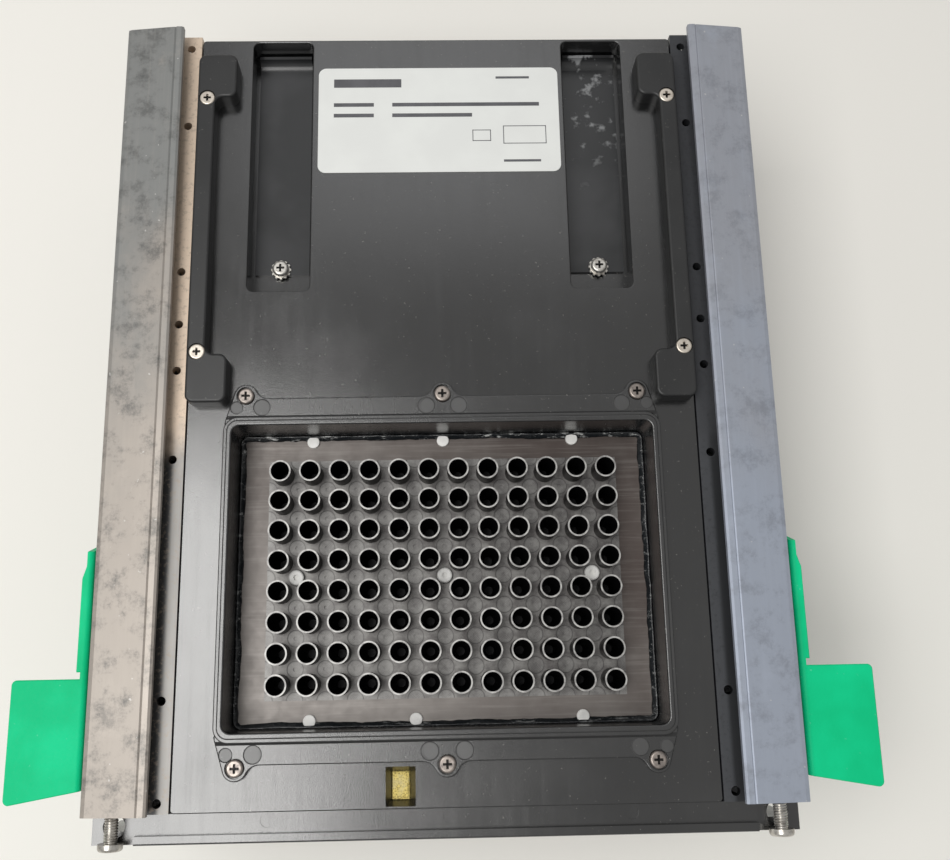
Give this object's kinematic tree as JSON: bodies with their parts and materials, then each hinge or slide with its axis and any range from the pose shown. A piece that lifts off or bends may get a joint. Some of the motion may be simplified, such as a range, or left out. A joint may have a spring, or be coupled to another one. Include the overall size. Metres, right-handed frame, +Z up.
{
  "type": "thermal cycler sample block module",
  "caption": "Interchangeable well block module for a thermal cycler: recessed metal well plate in a black deck with side guide rails and hinged release levers.",
  "frame": {"origin": "centre of the bounding box on the plane that the module rests on", "axes": "+X to the right seen from the front bezel, +Y towards the rear connector, +Z up"},
  "size_m": [0.2486, 0.2508, 0.1006],
  "materials": {
    "black_plastic": "satin moulded, lightly worn",
    "rail_aluminium": "worn hard anodised",
    "block_metal": "brushed and machined",
    "bare_aluminium": "extruded",
    "steel_sheet": "plated sheet",
    "zinc_screw": "zinc plated",
    "white_plastic": "smooth",
    "green_coating": "fine textured powder coat",
    "label_foil": "satin foil",
    "foam": "open cell foam",
    "sealant": "cured silicone",
    "gasket_rubber": "sponge",
    "ceramic_white": "sintered",
    "pellet": "semiconductor",
    "graphite": "graphite foil",
    "board_green": "solder resist",
    "component_black": "moulded",
    "gold_contact": "plated",
    "wire_red": "silicone insulation"
  },
  "bodies": {
    "module_body": {"block_centre_screws": "white_plastic", "block_edge_screws": "white_plastic", "block_probes": "zinc_screw", "board_components": "component_black", "board_screws": "zinc_screw", "board_standoffs": "zinc_screw", "bracket_screws": "zinc_screw", "chassis_front_wall": "steel_sheet", "chassis_rear_wall": "steel_sheet", "chassis_screws": "zinc_screw", "chassis_tray": "steel_sheet", "connector_contacts": "gold_contact", "control_board": "board_green", "deck_panel": "black_plastic", "deck_screws": "zinc_screw", "frame_screws": "zinc_screw", "front_bezel": "black_plastic", "heat_sink": "bare_aluminium", "insulation_gasket": "gasket_rubber", "left_guide_bracket": "black_plastic", "left_pocket_strip": "black_plastic", "left_rail": "rail_aluminium", "lever_pivot_pins": "zinc_screw", "lever_retaining_rings": "zinc_screw", "lever_spacers": "zinc_screw", "lever_stop_pins": "zinc_screw", "lower_ceramic_plates": "ceramic_white", "lower_thermal_pads": "graphite", "module_leads": "wire_red", "rail_end_screws": "zinc_screw", "rail_side_screws": "zinc_screw", "rating_label": "label_foil", "rear_connector": "component_black", "right_guide_bracket": "black_plastic", "right_pocket_strip": "black_plastic", "right_rail": "rail_aluminium", "sample_block": "block_metal", "sealant_bead": "sealant", "semiconductor_pellets": "pellet", "sink_probe": "zinc_screw", "sink_screws": "zinc_screw", "sink_support_angles": "steel_sheet", "strip_lock_washers": "zinc_screw", "strip_screws": "zinc_screw", "upper_ceramic_plates": "ceramic_white", "upper_thermal_pads": "graphite", "well_frame": "black_plastic", "window_pad": "foam"},
    "left_lever": {"left_release_lever": "green_coating"},
    "right_lever": {"right_release_lever": "green_coating"}
  },
  "joints": [
    {"name": "left_lever_hinge", "type": "hinge", "parent": "module_body", "child": "left_lever", "pos_m": [-0.104, -0.049, 0.076], "axis": [-1, 0, 0], "range_deg": [0, 32]},
    {"name": "right_lever_hinge", "type": "hinge", "parent": "module_body", "child": "right_lever", "pos_m": [0.104, -0.049, 0.076], "axis": [-1, 0, 0], "range_deg": [0, 32]}
  ]
}
